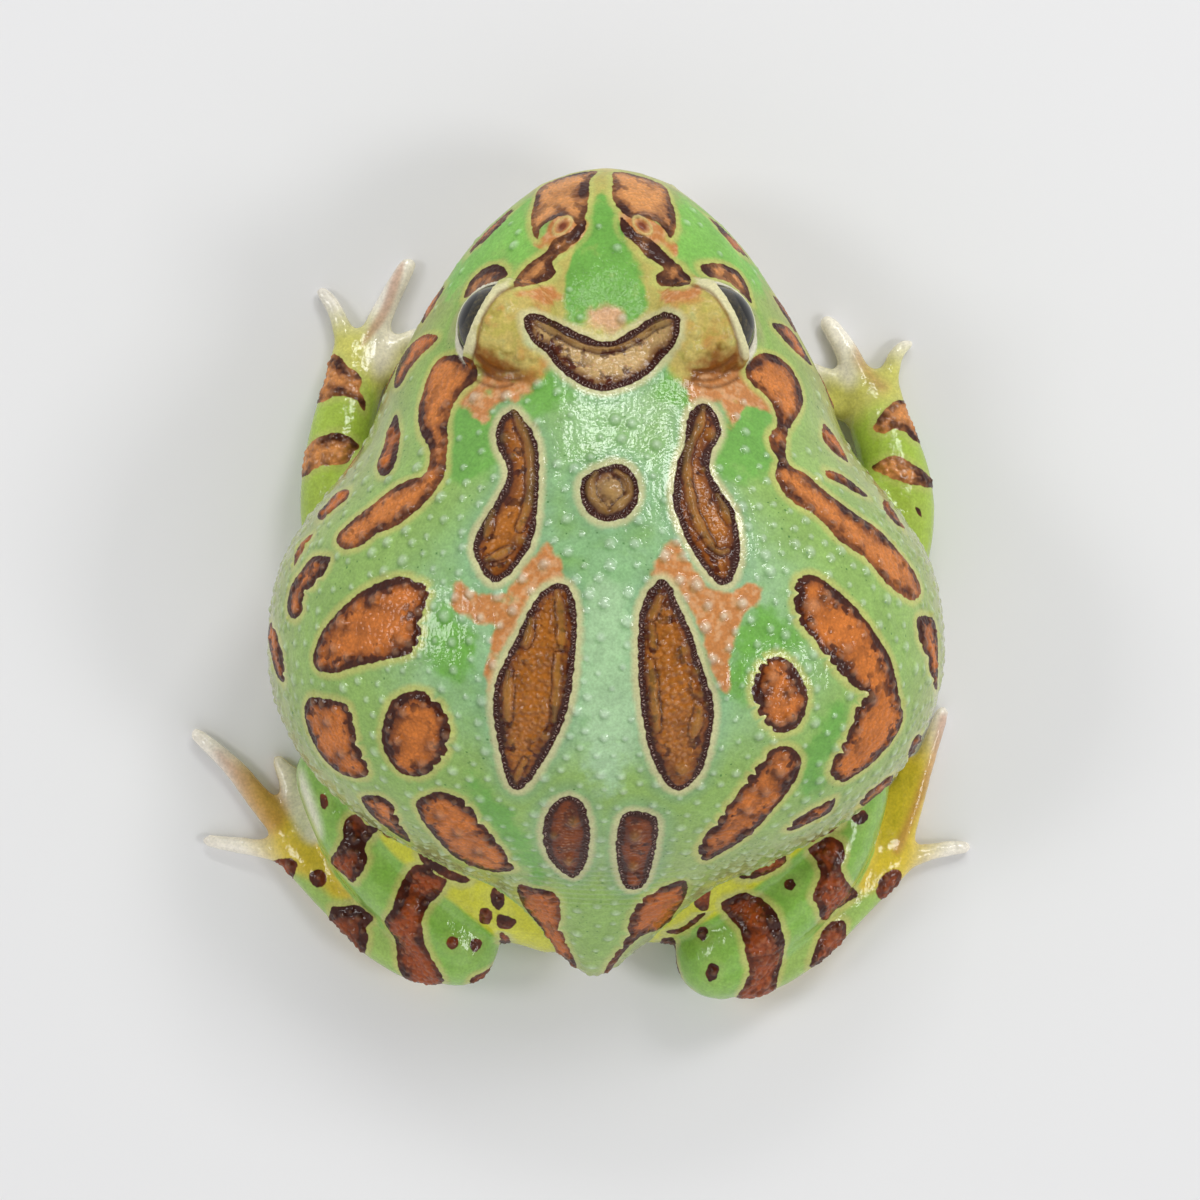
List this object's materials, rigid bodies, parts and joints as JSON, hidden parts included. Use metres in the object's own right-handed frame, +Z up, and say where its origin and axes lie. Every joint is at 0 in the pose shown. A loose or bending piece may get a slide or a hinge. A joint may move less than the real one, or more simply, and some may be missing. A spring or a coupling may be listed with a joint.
{
  "type": "argentine horned frog",
  "caption": "Life-size horned frog sitting still with folded legs, a very wide head, lidded eyes and a domed back, for use as a resting animal.",
  "frame": {"origin": "on the floor under the trunk, in the middle of the flat of the belly", "axes": "+Z up from the floor, -Y towards the snout, +X towards the frog's left"},
  "size_m": [0.0995, 0.1038, 0.0468],
  "materials": {
    "back_skin": "wet, glossy, warty",
    "limb_skin": "wet, glossy, smooth",
    "eye": "polished, wet"
  },
  "bodies": {
    "root": {"head": "back_skin", "torso": "back_skin", "eye_left": "eye", "eye_right": "eye", "upper_arm_left": "limb_skin", "forearm_left": "limb_skin", "hand_left": "limb_skin", "thigh_left": "limb_skin", "shank_left": "limb_skin", "foot_left": "limb_skin", "upper_arm_right": "limb_skin", "forearm_right": "limb_skin", "hand_right": "limb_skin", "thigh_right": "limb_skin", "shank_right": "limb_skin", "foot_right": "limb_skin"}
  },
  "joints": []
}
